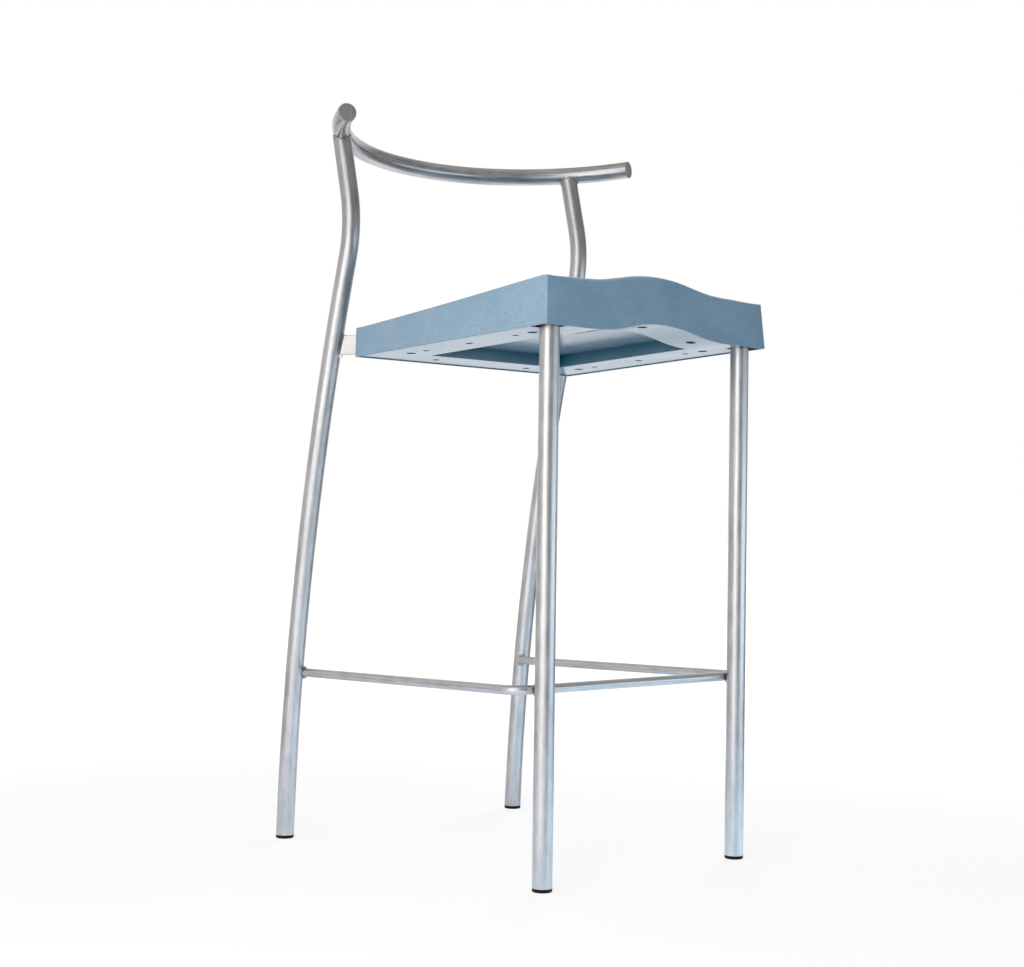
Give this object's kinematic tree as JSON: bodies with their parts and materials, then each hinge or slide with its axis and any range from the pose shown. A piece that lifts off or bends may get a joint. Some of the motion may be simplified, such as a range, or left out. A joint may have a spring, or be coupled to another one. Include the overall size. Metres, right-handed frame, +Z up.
{
  "type": "bar stool",
  "caption": "Bar stool with a welded satin steel tube frame, a low curved back rail, a bent rod footrest and a hollow moulded plastic seat with a humped front edge.",
  "frame": {"origin": "on the floor, under the middle of the overall box", "axes": "+X to the right as seen by someone who faces the stool's front edge, +Y from the seat's front edge towards the back rail, +Z up"},
  "size_m": [0.5516, 0.5262, 0.998],
  "materials": {
    "frame_steel": "satin, fine grained",
    "seat_plastic": "smooth, low sheen",
    "black_plastic": "moulded",
    "screw_steel": "zinc plated"
  },
  "bodies": {
    "root": {"front_leg_left": "frame_steel", "front_leg_right": "frame_steel", "rear_leg_left": "frame_steel", "rear_leg_right": "frame_steel", "back_rail": "frame_steel", "back_rail_cap_left": "frame_steel", "back_rail_cap_right": "frame_steel", "back_rail_welds": "frame_steel", "footrest_rod": "frame_steel", "footrest_welds": "frame_steel", "seat_bar_left": "frame_steel", "seat_bar_right": "frame_steel", "seat_bar_welds": "frame_steel", "seat_shell": "seat_plastic", "seat_base": "seat_plastic", "seat_screws_large": "screw_steel", "seat_screws_small": "screw_steel", "foot_glide_front_left": "black_plastic", "foot_glide_front_right": "black_plastic", "foot_glide_rear_left": "black_plastic", "foot_glide_rear_right": "black_plastic"}
  },
  "joints": []
}
